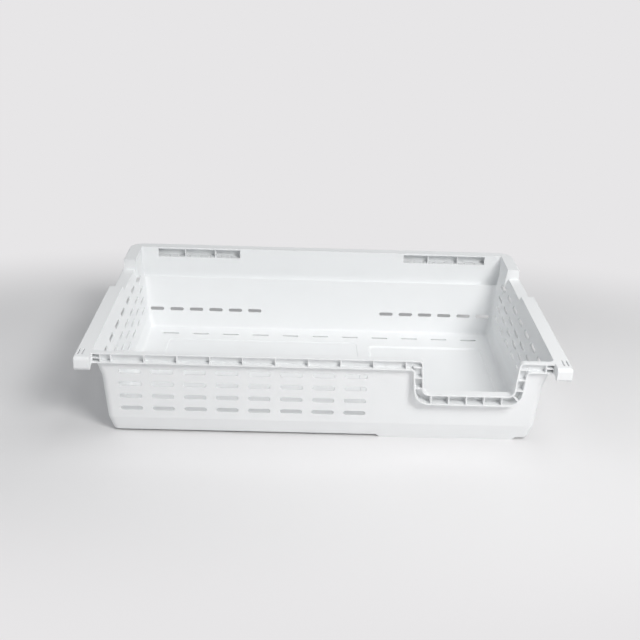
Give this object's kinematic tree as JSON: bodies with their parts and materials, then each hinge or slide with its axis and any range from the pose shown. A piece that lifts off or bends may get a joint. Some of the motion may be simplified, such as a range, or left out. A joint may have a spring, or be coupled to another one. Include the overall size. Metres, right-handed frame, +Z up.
{
  "type": "freezer tray",
  "caption": "Wide shallow freezer tray with slotted walls, a ribbed channel rim that dips round a front notch, hollow stepped slide rails and a higher rear rim behind a gutter.",
  "frame": {"origin": "on the surface that the tray stands on, below the middle of its bounding box", "axes": "+X across the tray to the right as seen from the front, +Y to the back, +Z up"},
  "size_m": [0.695, 0.459, 0.148],
  "materials": {
    "tray_plastic": "cool white, satin, lightly textured by the mould"
  },
  "bodies": {
    "root": {"freezer_tray": "tray_plastic"}
  },
  "joints": []
}
